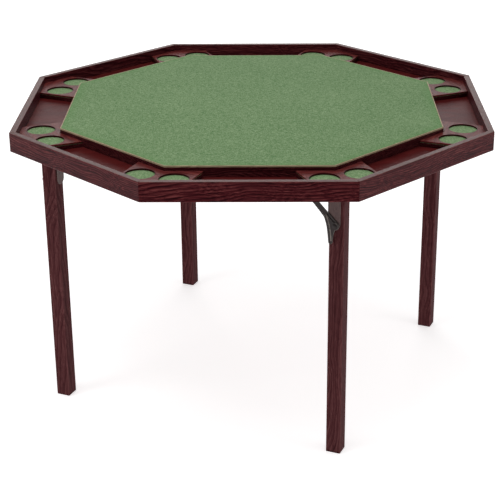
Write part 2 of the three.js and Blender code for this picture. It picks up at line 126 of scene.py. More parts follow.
CHANNEL_OPEN_SIDE = 10 * MM
CHANNEL_TOP_RADIUS = 17 * MM
CHANNEL_LOW_CENTRE = -70 * MM
CHANNEL_WEB_TOP = -6 * MM
CHANNEL_WEB_BOTTOM = -66 * MM
RIVET_PLACES = ((2 * MM, -34 * MM), (2 * MM, -56 * MM))
RIVET_RADIUS = 3.2 * MM
RIVET_HEIGHT = 0.3 * MM

BRACKET_HALF_LENGTH = 34 * MM
BRACKET_HALF_WIDTH = 40 * MM
BRACKET_CORNER = 6 * MM
BRACKET_SCREW_PLACE = (25 * MM, 32 * MM)
EAR_HALF_BASE = 22 * MM
EAR_SHOULDER_DEPTH = 6 * MM
EAR_BOTTOM_RADIUS = 12 * MM

BRACE_PIVOT = Vector((3 * MM, -75 * MM))
BRACE_END = Vector((88 * MM, 15 * MM))
BRACE_LOBE_RADIUS = 11 * MM
BRACE_TIP_RADIUS = 7.5 * MM
BRACE_HOLLOW_PLACE = 0.45
BRACE_HOLLOW_ASIDE = 0.5 * MM

# the outline of the finger lever, in u and w; the angles of its eye are degrees
LEVER_EYE_RADIUS = 10 * MM
LEVER_EYE_START = 75.6
LEVER_EYE_FINISH = 259.2
LEVER_EYE_TOP = Vector((5.5 * MM, -65.3 * MM))
LEVER_EYE_BOTTOM = Vector((1.13 * MM, -84.8 * MM))
LEVER_TOP_INNER = Vector((24 * MM, -45 * MM))
LEVER_TOP_OUTER = Vector((30 * MM, -53 * MM))
LEVER_END = Vector((12.5 * MM, -116 * MM))
LEVER_END_RADIUS = 5.5 * MM
LEVER_NECK_BEND = Vector((15 * MM, -57 * MM))
LEVER_INNER_BEND = Vector((6 * MM, -96 * MM))
LEVER_LOWER_BEND = Vector((19 * MM, -102 * MM))
LEVER_OUTER_MIDDLE = Vector((21 * MM, -88 * MM))
LEVER_UPPER_BEND = Vector((22.5 * MM, -72 * MM))
BEAD_TOP = Vector((23 * MM, -49 * MM))
BEAD_BEND = Vector((12 * MM, -78 * MM))
BEAD_END = Vector((10.5 * MM, -113 * MM))
BEAD_HALF_WIDTH = 1.1 * MM
# the bead's edge amount, which paints the whole bead in the bright edge colour as a painted highlight
# line
BEAD_PAINTED_HIGHLIGHT = 1.1

TRACK_SLOT_RADIUS = 3.4 * MM
TRACK_MARGIN = 12 * MM
TRACK_START_MARGIN = 6.5 * MM
TRACK_FLANGE_WIDTH = 18 * MM
TRACK_SCREW_OFFSET = 11 * MM
TRACK_SCREW_PARTS = (0.12, 0.5, 0.88)

LEG_NAMES = ("right", "back", "left", "front")
RAILS = ("back", "back_left", "left", "front_left", "front", "front_right", "right", "back_right")
TOP_BODY = "table_top"

# how strongly the large faces of a piece set the direction of its shading
FLAT_FACE_WEIGHT = 80

# ---- sizes of the studio ------------------------------------------------------------------

SURROUND_LIGHT = 0.4
FLOOR_HALF_SIZE = 30
FLOOR_GLOW = 0.57

# the name, place, size and power of each soft light
LIGHTS = (
    ("left_softbox", (-3.0, -1.4, 1.2), 1.8, 22),
    ("right_softbox", (3.2, -1.2, 1.2), 1.8, 20),
    ("back_panel", (0.0, 4.6, 2.2), 3.4, 64),
    ("overhead", (-0.6, -0.8, 3.4), 2.0, 33),
)
LIGHTS_AIM = Vector((0, 0, 0.6))

CAMERA_SENSOR = 36
CAMERA_LENS = 102.06
CAMERA_PLACE = (0.0599, -3.6404, TOP + 1.1267)
CAMERA_HEADING = 1.10
CAMERA_DOWNWARD = 23.14
CAMERA_ROLL = 0.51

random.seed(7)


# ---- colours and nodes --------------------------------------------------------------------

def linear(red, green, blue):
    """A screen colour from 0 to 255 as the linear colour that shaders use."""
    def channel(value):
        value /= 255
        return value / 12.92 if value <= 0.04045 else ((value + 0.055) / 1.055) ** 2.4
    return channel(red), channel(green), channel(blue), 1.0


def scaled(colour, factor):
    """A colour made lighter or darker."""
    return tuple(min(1, factor * channel) for channel in colour[:3]) + (1,)


class Nodes:
    """A material under construction: short calls that add and link nodes."""

    def __init__(self, name):
        self.material = bpy.data.materials.new(name)
        self.material.use_nodes = True
        self.tree = self.material.node_tree
        self.shader = self.tree.nodes["Principled BSDF"]

    def add(self, kind, **settings):
        node = self.tree.nodes.new(kind)
        for key, value in settings.items():
            setattr(node, key, value)
        return node

    def link(self, source, target):
        self.tree.links.new(source, target)

    def feed(self, node, values):
        for key, value in values.items():
            if hasattr(value, "is_linked"):
                self.link(value, node.inputs[key])
            else:
                node.inputs[key].default_value = value
        return node

    def attribute(self, name, output="Vector"):
        return self.add("ShaderNodeAttribute", attribute_name=name).outputs[output]

    def stretch(self, vector, scale):
        node = self.add("ShaderNodeMapping")
        self.feed(node, {"Vector": vector, "Scale": scale})
        return node.outputs["Vector"]

    def noise(self, vector, scale, detail=2.0, roughness=0.5, output="Fac"):
        node = self.add("ShaderNodeTexNoise")
        self.feed(node, {"Vector": vector, "Scale": scale, "Detail": detail, "Roughness": roughness})
        return node.outputs[output]

    def math(self, operation, *values):
        node = self.add("ShaderNodeMath", operation=operation)
        self.feed(node, dict(enumerate(values)))
        return node.outputs[0]

    def vector_math(self, operation, *values, output="Vector"):
        node = self.add("ShaderNodeVectorMath", operation=operation)
        self.feed(node, dict(enumerate(values)))
        return node.outputs[output]

    def ramp(self, value, *stops):
        node = self.add("ShaderNodeValToRGB")
        self.link(value, node.inputs["Fac"])
        elements = node.color_ramp.elements
        while len(elements) < len(stops):
            elements.new(0.5)
        for element, (position, colour) in zip(elements, stops):
            element.position = position
            element.color = colour if hasattr(colour, "__len__") else (colour,) * 3 + (1,)
        return node.outputs["Color"]

    def blend(self, factor, first, second):
        node = self.add("ShaderNodeMix", data_type="RGBA", blend_type="MIX")
        for socket, value in ((0, factor), (6, first), (7, second)):
            if hasattr(value, "is_linked"):
                self.link(value, node.inputs[socket])
            else:
                node.inputs[socket].default_value = value
        return node.outputs[2]

    def spread(self, value, low, high, new_low, new_high):
        node = self.add("ShaderNodeMapRange", clamp=True)
        self.feed(node, {"Value": value, "From Min": low, "From Max": high,
                         "To Min": new_low, "To Max": new_high})
        return node.outputs["Result"]

    def bump(self, height, distance, strength):
        node = self.add("ShaderNodeBump")
        self.feed(node, {"Height": height, "Distance": distance, "Strength": strength})
        return node.outputs["Normal"]

    def finish(self, **sockets):
        self.feed(self.shader, {key.replace("_", " "): value for key, value in sockets.items()})
        return self.material


# ---- materials ----------------------------------------------------------------------------

# a pale colour painted on the rim's top faces: painted sheen in place of the reflection they catch
PAINTED_SHEEN_OAK = linear(118, 86, 80)
# a bright colour for steel edges and the lever's bead: bare metal where paint wears off, and painted
# highlight
RUBBED_AND_HIGHLIGHT_STEEL = linear(150, 140, 132)


def wood(name, dark, middle, light, ring_pitch, contrast=1.0, roughness=0.36, pores=1.0,
         glow=0.12, ior=1.5):
    """Stained open-grained oak: wandering growth rings, fine streaks and short open pores.

    Glow is how much of a normal surface's head-on reflection is left. Rubbed edges are painted lighter,
    partly as wear and partly as a painted highlight; the walls of holes are painted dark as painted
    shade; and the top attribute paints the rim's top lighter as a painted sheen."""
    make = Nodes(name)
    grain = make.attribute("grain")
    wear_and_painted_light = make.attribute("wear_and_painted_light", "Fac")
    slow = make.noise(make.stretch(grain, (3.6, 8, 8)), 1.0, 2.0, 0.5, "Color")
    drift = make.vector_math("SUBTRACT", slow, (0.5, 0.5, 0.5))
    drift = make.vector_math("MULTIPLY", drift, (0.0, 0.07, 0.07))
    bent = make.vector_math("ADD", grain, drift)
    flat = make.vector_math("MULTIPLY", bent, (0.05, 1.0, 1.0))
    distance = make.vector_math("LENGTH", flat, output="Value")
    rings = make.math("FRACT", make.math("DIVIDE", distance, ring_pitch))
    rings = make.ramp(rings, (0.0, 0.35), (0.40, 0.70), (0.66, 0.85), (0.84, 0.0), (1.0, 0.35))
    streak = make.noise(make.stretch(bent, (10, 560, 560)), 1.0, 2.0, 0.6)
    band = make.noise(make.stretch(grain, (2.2, 60, 60)), 1.0, 2.0, 0.5)
    pore = make.noise(make.stretch(bent, (60, 1500, 1500)), 1.0, 1.0, 0.4)
    pore = make.math("MULTIPLY", make.spread(pore, 0.58, 0.70, 0.0, 1.0), pores)
    figure = make.math("MULTIPLY_ADD", streak, 1.5, make.math("MULTIPLY", rings, 0.5))
    figure = make.math("MULTIPLY_ADD", band, 0.5, figure)
    middle_figure = 1.31
    figure = make.math("MULTIPLY_ADD", make.math("SUBTRACT", figure, middle_figure), contrast, 0.5)
    colour = make.ramp(figure, (0.12, dark), (0.48, middle), (0.90, light))
    colour = make.blend(make.math("MULTIPLY", pore, 0.75), colour, dark)
    # painted shade: the walls of holes and recesses are darkened towards black
    painted_hole_shade = make.spread(wear_and_painted_light, -1.0, -0.3, 0.85, 0.0)
    colour = make.blend(painted_hole_shade, colour, scaled(dark, 0.35))
    # rubbed edges painted lighter: partly wear, partly a painted highlight
    rubbed_and_highlit = make.math("MAXIMUM", wear_and_painted_light, 0.0)
    worn_and_highlit = make.math("MULTIPLY", rubbed_and_highlit, make.spread(streak, 0.35, 0.65, 0.05, 0.40))
    colour = make.blend(worn_and_highlit, colour, scaled(light, 1.5))
    # painted sheen: the rim's top is painted lighter in place of the reflection it catches
    top = make.attribute("top", "Fac")
    painted_sheen = make.math("MULTIPLY", top, make.spread(streak, 0.3, 0.7, 0.3, 0.6))
    colour = make.blend(painted_sheen, colour, PAINTED_SHEEN_OAK)
    polish = make.spread(streak, 0.3, 0.7, roughness - 0.05, roughness + 0.07)
    rough = make.math("MULTIPLY_ADD", pore, 0.25, polish)
    height = make.math("SUBTRACT", make.math("MULTIPLY", streak, 0.35), pore)
    normal = make.bump(height, 0.10 * MM, 0.7)
    return make.finish(Base_Color=colour, Roughness=rough, Normal=normal, IOR=ior,
                       Specular_Tint=(glow, glow, glow, 1))


def felt(name, deep, middle, pale, edge_colour=None):
    """Woven playing cloth: slubs along and across, a fine weave, and slow changes of tone."""
    make = Nodes(name)
    grain = make.attribute("grain")
    along = make.noise(make.stretch(grain, (120, 450, 120)), 1.0, 1.0, 0.5)
    across = make.noise(make.stretch(grain, (450, 120, 120)), 1.0, 1.0, 0.5)
    fuzz = make.noise(grain, 1400.0, 2.0, 0.6)
    cloud = make.noise(grain, 5.0, 3.0, 0.55)
    slub = make.math("MULTIPLY", make.math("ADD", along, across), 0.5)
    tone = make.math("MULTIPLY_ADD", make.math("SUBTRACT", slub, 0.5), 2.0, 0.5)
    tone = make.math("MULTIPLY_ADD", make.math("SUBTRACT", fuzz, 0.5), 0.35, tone)
    tone = make.math("MULTIPLY_ADD", make.math("SUBTRACT", cloud, 0.5), 0.15, tone)
    colour = make.ramp(tone, (0.15, deep), (0.5, middle), (0.85, pale))
    # towards the cloth's edge the colour turns a darker, more saturated green
    if edge_colour is not None:
        edge = make.math("MULTIPLY", make.attribute("wear_and_painted_light", "Fac"), 0.75)
        colour = make.blend(edge, colour, edge_colour)
    weave = []
    for axis in ("X", "Y"):
        thread = make.add("ShaderNodeTexWave", wave_type="BANDS", bands_direction=axis)
        make.feed(thread, {"Vector": grain, "Scale": 115.0, "Distortion": 1.2, "Detail": 1.0,
                           "Detail Scale": 3.0})
        weave.append(thread.outputs["Fac"])
    cloth = make.math("MULTIPLY", *weave)
    height = make.math("MULTIPLY_ADD", fuzz, 0.6, cloth)
    normal = make.bump(height, 0.25 * MM, 0.55)
    return make.finish(Base_Color=colour, Roughness=0.95, Normal=normal, Sheen_Weight=0.06,
                       Sheen_Roughness=0.5, IOR=1.3)


def steel(name, dark, light, metallic, roughness, scratch):
    """Pressed steel: mottled tone, fine draw marks, and edges painted lighter, partly as rubbed wear
    and partly as a painted highlight.
    """
    make = Nodes(name)
    grain = make.attribute("grain")
    wear_and_painted_light = make.attribute("wear_and_painted_light", "Fac")
    mottle = make.noise(grain, 90.0, 4.0, 0.6)
    marks = make.noise(make.stretch(grain, (40, 900, 900)), 1.0, 2.0, 0.5)
    tone = make.math("MULTIPLY_ADD", marks, scratch, make.math("MULTIPLY", mottle, 1 - scratch))
    colour = make.ramp(tone, (0.3, dark), (0.7, light))
    # edges and the lever's bead painted bright: partly bare-metal wear, partly painted highlight
    rubbed_and_highlit = make.math("MAXIMUM", wear_and_painted_light, 0.0)
    worn_and_highlit = make.math("MULTIPLY", rubbed_and_highlit, make.spread(mottle, 0.4, 0.6, 0.15, 0.6))
    colour = make.blend(worn_and_highlit, colour, RUBBED_AND_HIGHLIGHT_STEEL)
    rough = make.spread(mottle, 0.3, 0.7, roughness - 0.07, roughness + 0.1)
    normal = make.bump(make.math("ADD", mottle, marks), 0.04 * MM, 0.5)
    return make.finish(Base_Color=colour, Roughness=rough, Metallic=metallic, Normal=normal)


OAK = wood("stained_oak", linear(31, 6, 10), linear(66, 21, 26), linear(105, 52, 52),
           ring_pitch=5 * MM, glow=0.08, ior=1.2)
LEG_OAK = wood("leg_oak", linear(44, 18, 21), linear(75, 40, 42), linear(106, 68, 68),
               ring_pitch=6 * MM, contrast=0.7, roughness=0.6, glow=0.1, ior=1.1)
PANEL_WOOD = wood("stained_panel", linear(64, 20, 21), linear(101, 42, 41), linear(133, 70, 64),
                  ring_pitch=12 * MM, contrast=0.65, roughness=0.4, pores=0.7, ior=1.2)
FLOOR_WOOD = wood("tray_floor", linear(58, 14, 16), linear(86, 27, 27), linear(110, 42, 38),
                  ring_pitch=16 * MM, contrast=0.4, roughness=0.45, pores=0.5, ior=1.2)
PALE_WOOD = wood("pale_edge", linear(120, 104, 82), linear(166, 146, 118), linear(190, 172, 142),
                 ring_pitch=4 * MM, contrast=0.7, roughness=0.6, pores=0.5)
FELT = felt("green_felt", linear(72, 112, 62), linear(109, 140, 93), linear(144, 168, 126),
            edge_colour=linear(84, 132, 68))
COASTER_FELT = felt("coaster_felt", linear(80, 120, 70), linear(122, 150, 104),
                    linear(154, 178, 136))
GREY_STEEL = steel("grey_steel", linear(62, 46, 46), linear(94, 74, 71),
                   metallic=0.6, roughness=0.5, scratch=0.5)
BLACK_STEEL = steel("black_steel", linear(16, 8, 8), linear(42, 29, 28),
                    metallic=0.35, roughness=0.48, scratch=0.4)
BRIGHT_STEEL = steel("screw_steel", linear(128, 122, 112), linear(176, 168, 156),
                     metallic=0.9, roughness=0.32, scratch=0.5)


# ---- meshes -------------------------------------------------------------------------------

def arc(centre, radius, start, end, steps):
    """Points round a centre, both ends included; angles are degrees."""
    points = []
    for step in range(steps + 1):
        angle = math.radians(start + (end - start) * step / steps)
        points.append(Vector((centre[0] + radius * math.cos(angle),
                              centre[1] + radius * math.sin(angle))))
    return points


def circle(centre, radius, steps=48):
    """A clockwise round outline, for a hole."""
    return arc(centre, radius, 360, 0, steps)[:-1]


def curve_between(start, control, end, steps=10):
    """Points of a quadratic curve, without its first point."""
    points = []
    for step in range(1, steps + 1):
        t = step / steps
        points.append(start * (1 - t) ** 2 + control * (2 * t * (1 - t)) + end * t * t)
    return points


def inset(points, distance):
    """An outline moved into the material by a distance."""
    moved = []
    for index, point in enumerate(points):
        before = (point - points[index - 1]).normalized()
        after = (points[(index + 1) % len(points)] - point).normalized()
        normal_before = Vector((-before.y, before.x))
        bisector = (normal_before + Vector((-after.y, after.x))).normalized()
        moved.append(point + bisector * (distance / max(bisector.dot(normal_before), 0.35)))
    return moved


def rounded_edge(base, top, edge, steps, rising):
    """Profile points of a quarter round between a wall and a top, going up or down the wall."""
    points = []
    for step in range(steps + 1):
        angle = math.pi / 2 * (step if rising else steps - step) / steps
        amount = 0.5 if step in (0, steps) else 1.0
        side = edge * (1 - math.cos(angle)) * (1 if rising else -1)
        points.append((base + side, top - edge * (1 - math.sin(angle)), amount))
    return points


def plate_mesh(outline, holes, low, high, edge, margin, steps=3, lip=None):
    """A flat plate with rounded edges, as a bmesh: outline in x and y, thickness in z.

    A lip, given as its width and height, stands up along the outline.

    The wear layer is 1 on the rounded edges and falls to 0 within the margin; the materials paint it
    lighter, partly as wear and partly as a painted highlight. Round a hole it is -1 on the edges and
    the wall, where wood is painted dark as painted shade."""
    mesh = bmesh.new()
    wear_and_painted_light = mesh.verts.layers.float.new("wear_and_painted_light")
    profile = [(edge + margin, low, 0.0)]
    for inset_by, height, amount in reversed(rounded_edge(0.0, 0.0, edge, steps, True)):
        profile.append((inset_by, low - height, amount))
    wall = min(margin, (high - low) / 2 - edge * 1.2)
    if wall > 0.05 * MM:
        profile.append((0.0, low + edge + wall, 0.0))
        profile.append((0.0, high - edge - wall * 0.99, 0.0))
    if lip is None:
        profile += rounded_edge(0.0, high, edge, steps, True)
        profile.append((edge + margin, high, 0.0))
    else:
        width, rise = lip
        profile += rounded_edge(0.0, high + rise, edge, steps, True)
        profile += rounded_edge(width, high + rise, edge, steps, False)
        profile += [(width, high, 0.0), (width + margin, high, 0.0)]
    caps = ([], [])
    for points in [outline, *holes]:
        hole = points is not outline
        rings = []
        for distance, height, amount in profile:
            ring = []
            for point in inset(points, distance):
                vertex = mesh.verts.new((point.x, point.y, height))
                # hole walls get -1, for painted shade; an outline gets the edge amount, for wear and
                # painted highlight
                vertex[wear_and_painted_light] = -float(0 < len(rings) < len(profile) - 1) if hole else amount
                ring.append(vertex)
            rings.append(ring)
        for lower, upper in zip(rings, rings[1:]):
            for index in range(len(lower)):
                following = (index + 1) % len(lower)
                mesh.faces.new((lower[index], lower[following], upper[following], upper[index]))
        for cap, ring in zip(caps, (rings[0], rings[-1])):
            for index in range(len(ring)):
                cap.append(mesh.edges.get((ring[index], ring[(index + 1) % len(ring)])))
    for cap in caps:
        bmesh.ops.triangle_fill(mesh, edges=cap, use_beauty=True)
    bmesh.ops.recalc_face_normals(mesh, faces=mesh.faces)
    return mesh


def turned_mesh(profile, steps=32):
    """A solid of revolution about z, from (radius, height) points that start and end at radius 0."""
    mesh = bmesh.new()
    mesh.verts.layers.float.new("wear_and_painted_light")
    rings = []
    for radius, height in profile:
        outline = [Vector((0, 0))] if radius == 0 else arc((0, 0), radius, 0, 360, steps)[:-1]
        rings.append([mesh.verts.new((point.x, point.y, height)) for point in outline])
    for lower, upper in zip(rings, rings[1:]):
        for i in range(steps):
            j = (i + 1) % steps
            corners = [lower[i % len(lower)], lower[j % len(lower)],
                       upper[j % len(upper)], upper[i % len(upper)]]
            unique = list(dict.fromkeys(corners))
            if len(unique) > 2:
                mesh.faces.new(unique)
    bmesh.ops.recalc_face_normals(mesh, faces=mesh.faces)
    return mesh


def merged(*meshes):
    """Several bmeshes as one; each keeps its own closed surface."""
    target = bmesh.new()
    target.verts.layers.float.new("wear_and_painted_light")
    for mesh in meshes:
        data = bpy.data.meshes.new("part")
        mesh.to_mesh(data)
        mesh.free()
        target.from_mesh(data)
        bpy.data.meshes.remove(data)
    return target


def moved(mesh, matrix):
    mesh.transform(matrix)
    return mesh


def piece(name, mesh, material, body, place, along="x", replaces=(), shift=None):
    """Makes the object of a piece: grain coordinates, smooth shading, material and body.

    Shift moves the grain coordinates. Without one, the three numbers drawn here are used."""
    data = bpy.data.meshes.new(name)
    mesh.to_mesh(data)
    mesh.free()
    order = {"x": (0, 1, 2), "y": (1, 0, 2), "z": (2, 0, 1)}[along]
    drawn = (random.uniform(-3, 3), random.uniform(0.02, 0.06), random.uniform(0.10, 0.22))
    if shift is None:
        shift = drawn
    grain = data.attributes.new("grain", "FLOAT_VECTOR", "POINT")
    for vertex, value in zip(data.vertices, grain.data):
        value.vector = [vertex.co[axis] + offset for axis, offset in zip(order, shift)]
    for polygon in data.polygons:
        polygon.use_smooth = True
    data.transform(place)
    data.materials.append(material)
    thing = bpy.data.objects.new(name, data)
    bpy.context.scene.collection.objects.link(thing)
    weighted = thing.modifiers.new("flat faces", "WEIGHTED_NORMAL")
    weighted.weight = FLAT_FACE_WEIGHT
    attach(thing, body)
    if replaces:
        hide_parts(*replaces)
    return thing


# ---- the top ------------------------------------------------------------------------------

def octagon(inradius):
    """A regular octagon with flat sides across X and Y, from its distance to a side."""
    first = math.degrees(HALF_SIDE)
    return arc((0, 0), inradius / math.cos(HALF_SIDE), first, 360 - first, SIDES - 1)


def reach(inradius, offset):
    """Distance from the centre to a side of an octagon, measured beside a corner's centre line."""
    return (inradius - abs(offset) * math.sin(HALF_SIDE)) / math.cos(HALF_SIDE)


def chevron(inner, outer, half_width):
    """The outline of a corner piece, symmetrical about the X axis, with its points on it."""
    return [Vector(point) for point in (
        (reach(inner, 0), 0),
        (reach(inner, half_width), -half_width),
        (reach(outer, half_width), -half_width),
        (reach(outer, 0), 0),
        (reach(outer, half_width), half_width),
        (reach(inner, half_width), half_width),
    )]


def turn(degrees):
    return Matrix.Rotation(math.radians(degrees), 4, "Z")


def half_length(inradius):
    """Half the length of a mitred rail, at a distance from the table's centre."""
    return inradius * math.tan(HALF_SIDE) - GAP / 2 / math.cos(HALF_SIDE)


def make_rails():
    corners = ((-1, INNER), (1, INNER), (1, OUTER), (-1, OUTER))
    outline = [Vector((side * half_length(inradius), inradius)) for side, inradius in corners]
    for index, name in enumerate(RAILS):
        mesh = plate_mesh(outline, [], rail_low.z, rail_high.z, edge=1.3 * MM, margin=2.2 * MM)
        # the top faces are marked so that the wood paints them lighter, as a painted sheen
        top = mesh.verts.layers.float.new("top")
        for vertex in mesh.verts:
            vertex[top] = float(vertex.co.z > TOP - PAINTED_SHEEN_DEPTH)
        along = random.uniform(-3, 3)
        outwards = -OUTER - random.uniform(0.02, 0.05)
        upwards = -TOP - random.uniform(0.03, 0.12)
        piece(f"oak_rail_{name}", mesh, OAK, TOP_BODY, turn(45 * index),
              replaces=[f"rail_{name}"], shift=(along, outwards, upwards))


def make_corners():
    for corner in range(SIDES):
        place = turn(45 * corner + 22.5)
        holes = [circle((RECESS_RADIAL, side * RECESS_OFFSET), RECESS_RADIUS, 72) for side in (-1, 1)]
        outline = chevron(PANEL_INRADIUS + GAP, INNER - GAP, CORNER_HALF_WIDTH)
        mesh = plate_mesh(outline, holes, corner_low.z, corner_high.z, edge=0.6 * MM, margin=1.2 * MM)
        piece(f"corner_board_{corner + 1}", mesh, PANEL_WOOD, TOP_BODY, place,
              along="y", replaces=[f"corner_panel_{corner + 1}"])
        inner = PANEL_INRADIUS + COASTER_MARGIN
        outer = INNER - COASTER_MARGIN
        half_width = CORNER_HALF_WIDTH - COASTER_MARGIN
        mesh = plate_mesh(chevron(inner, outer, half_width), [], coaster_low.z, coaster_high.z,
                          edge=0.3 * MM, margin=0.5 * MM)
        cloth = piece(f"coaster_sheet_{corner + 1}", mesh, COASTER_FELT, TOP_BODY,
                      place, replaces=[f"coaster_felt_{corner + 1}"])


def make_playing_surface():
    inradius = felt_high.x
    mesh = plate_mesh(octagon(inradius), [], felt_low.z, felt_high.z, edge=0.55 * MM, margin=28 * MM)
    cloth = piece("playing_cloth", mesh, FELT, TOP_BODY, Matrix.Identity(4),
                  replaces=["playing_felt"])
    surface = felt_low.z - GAP
    mesh = plate_mesh(octagon(PANEL_INRADIUS), [], panel_low.z, surface, edge=0.5 * MM,
                      margin=2 * MM, lip=(LIP_WIDTH, panel_high.z - surface))
    piece("playing_board", mesh, PALE_WOOD, TOP_BODY, Matrix.Identity(4),
          replaces=["playing_panel"])
    opening = octagon(PANEL_INRADIUS - WALL_RING_WIDTH)[::-1]
    mesh = plate_mesh(octagon(PANEL_INRADIUS), [opening], wall_low.z, wall_high.z,
                      edge=0.15 * MM, margin=0.5 * MM, steps=1)
    piece("frame_ring", mesh, OAK, TOP_BODY, Matrix.Identity(4),
          replaces=["playing_frame"])


def make_tray_board():
    outer = INNER - GAP
    outline = []
    for corner in range(SIDES):
        angle = HALF_SIDE * (2 * corner + 1)
        for along, across in (
            (reach(PANEL_INRADIUS, CORNER_HALF_WIDTH), -CORNER_HALF_WIDTH),
            (reach(outer, CORNER_HALF_WIDTH), -CORNER_HALF_WIDTH),
            (reach(outer, 0), 0),
            (reach(outer, CORNER_HALF_WIDTH), CORNER_HALF_WIDTH),
            (reach(PANEL_INRADIUS, CORNER_HALF_WIDTH), CORNER_HALF_WIDTH),
        ):
            outline.append(Vector((along * math.cos(angle) - across * math.sin(angle),
                                   along * math.sin(angle) + across * math.cos(angle))))
    mesh = plate_mesh(outline, [], board_low.z, board_high.z, edge=0.15 * MM, margin=0.5 * MM, steps=1)
    piece("notched_board", mesh, OAK, TOP_BODY, Matrix.Identity(4),
          replaces=["tray_board"])
    mesh = plate_mesh(octagon(outer), [], floor_low.z, floor_high.z, edge=0.6 * MM, margin=2 * MM)
    piece("tray_floor_board", mesh, FLOOR_WOOD, TOP_BODY, Matrix.Identity(4),
          replaces=["bottom_panel"])


# ---- leg hardware -------------------------------------------------------------------------

def hardware_place(name):
    """The local frame of one leg's hardware, from its fold joint."""
    joint = next(j for j in frame["joints"] if j["name"] == f"fold_{name}")
    v = -Vector(joint["axis"]).normalized()
    w = Vector((0, 0, 1))
    u = v.cross(w)
    place = Matrix((u, v, w)).transposed().to_4x4()
    place.translation = Vector(joint["pos_m"])
    return place


PIVOT_HEIGHT = hardware_place("front").translation.z
UNDERSIDE = floor_low.z - GAP - PIVOT_HEIGHT


def side_mesh(outline, holes, low, high, edge=SHEET_EDGE, margin=SHEET_BORDER, steps=2):
    """A plate whose outline is in u and w and whose thickness runs along v."""
    mesh = plate_mesh(outline, holes, -high, -low, edge, margin, steps)
    return moved(mesh, Matrix.Rotation(math.pi / 2, 4, "X"))


def pin_mesh(profile, centre, start, steps=24):
    """A turned piece along v: profile heights count from start, away from the leg."""
    mesh = turned_mesh([(radius, -(start + height)) for radius, height in profile], steps)
    mesh = moved(mesh, Matrix.Rotation(math.pi / 2, 4, "X"))
    return moved(mesh, Matrix.Translation((centre[0], 0, centre[1])))


def headed_pin(radius, length, head):
    """Profile of a pin that starts a millimetre inside its plate and ends in a head."""
    return [(0, -MM), (radius, -MM), (radius, length), *((r, length + h) for r, h in head)]


def dome(radius, height, steps=5):
    """Profile of a shallow domed head, above a short straight wall, that ends at height."""
    wall = 0.35
    points = []
    for step in range(steps):
        angle = math.pi / 2 * step / steps
        points.append((radius * math.cos(angle), height * (wall + (1 - wall) * math.sin(angle))))
    return [*points, (0, height)]


def bolt_hole(centre=(0, 0)):
    return circle(centre, BOLT_HOLE_RADIUS, 24)


def beside_path(path, distance):
    """Two lines that run beside a path, the first one on its left."""
    sides = ([], [])
    for index, point in enumerate(path):
        tangent = (path[min(index + 1, len(path) - 1)] - path[max(index - 1, 0)]).normalized()
        normal = Vector((-tangent.y, tangent.x))
        sides[0].append(point + normal * distance)
        sides[1].append(point - normal * distance)
    return sides


def leg_mesh():
    corner = 1.5 * MM
    bottom = -PIVOT_HEIGHT
    outline = [
        *arc((-LEG_HALF + corner, bottom + corner), corner, 180, 270, 3),
        *arc((LEG_HALF - corner, bottom + corner), corner, 270, 360, 3),
        *arc((0, 0), LEG_HALF, 0, 180, 32),
    ]
    return side_mesh(outline, [bolt_hole()], -LEG_HALF, LEG_HALF, edge=2 * MM, margin=2.5 * MM, steps=3)


def cheek_outline():
    low_radius = (CHANNEL_OUTSIDE + CHANNEL_OPEN_SIDE) / 2
    arc_end = 90 + math.degrees(math.asin(CHANNEL_OPEN_SIDE / CHANNEL_TOP_RADIUS))
    return [
        Vector((CHANNEL_OUTSIDE, CHANNEL_WEB_TOP)),
        *arc((0, 0), CHANNEL_TOP_RADIUS, 0, arc_end, 20),
        *arc((CHANNEL_OUTSIDE - low_radius, CHANNEL_LOW_CENTRE), low_radius, 180, 360, 24),
    ]


def rivet_mesh(place, side):
    """A flat rivet head on one cheek of the channel; side is 1 or -1."""
    sunk = -0.4 * MM
    profile = [(0, sunk), (RIVET_RADIUS, sunk), (RIVET_RADIUS, 0.1 * MM),
               (2.6 * MM, RIVET_HEIGHT), (0, RIVET_HEIGHT)]
    rivet = pin_mesh(profile, place, CHANNEL_OUTSIDE)
    if side < 0:
        rivet = moved(rivet, Matrix.Diagonal((1, -1, 1, 1)))
        bmesh.ops.reverse_faces(rivet, faces=rivet.faces)
    return rivet


def channel_mesh():
    """Two cheeks, the web between them, drawn in v and w and turned across u, and rivets."""
    near = side_mesh(cheek_outline(), [bolt_hole()], CHANNEL_INSIDE, CHANNEL_OUTSIDE)
    far = side_mesh(cheek_outline(), [bolt_hole()], -CHANNEL_OUTSIDE, -CHANNEL_INSIDE)
    half = CHANNEL_OUTSIDE
    web_outline = [Vector((-half, CHANNEL_WEB_BOTTOM)), Vector((half, CHANNEL_WEB_BOTTOM)),
                   Vector((half, CHANNEL_WEB_TOP)), Vector((-half, CHANNEL_WEB_TOP))]
    web = plate_mesh(web_outline, [], CHANNEL_INSIDE, CHANNEL_OUTSIDE, SHEET_EDGE, SHEET_BORDER, 2)
    web = moved(web, Matrix(((0, 0, 1, 0), (1, 0, 0, 0), (0, 1, 0, 0), (0, 0, 0, 1))))
    rivets = [rivet_mesh(place, side) for place in RIVET_PLACES for side in (1, -1)]
    return merged(near, far, web, *rivets)


def stud_mesh():
    """The stud that the brace and its lever turn on."""
    length = LEVER_OUTSIDE + GAP - CHANNEL_OUTSIDE
    return pin_mesh(headed_pin(BOLT_RADIUS, length, STUD_HEAD), BRACE_PIVOT, CHANNEL_OUTSIDE)


def ear_outline():
    base = UNDERSIDE - SHEET_EDGE
    shoulder = UNDERSIDE - EAR_SHOULDER_DEPTH
    return [
        Vector((EAR_HALF_BASE, base)),
        Vector((-EAR_HALF_BASE, base)),
        Vector((-EAR_HALF_BASE, shoulder)),
        *arc((0, 0), EAR_BOTTOM_RADIUS, 180, 360, 20),
        Vector((EAR_HALF_BASE, shoulder)),
    ]


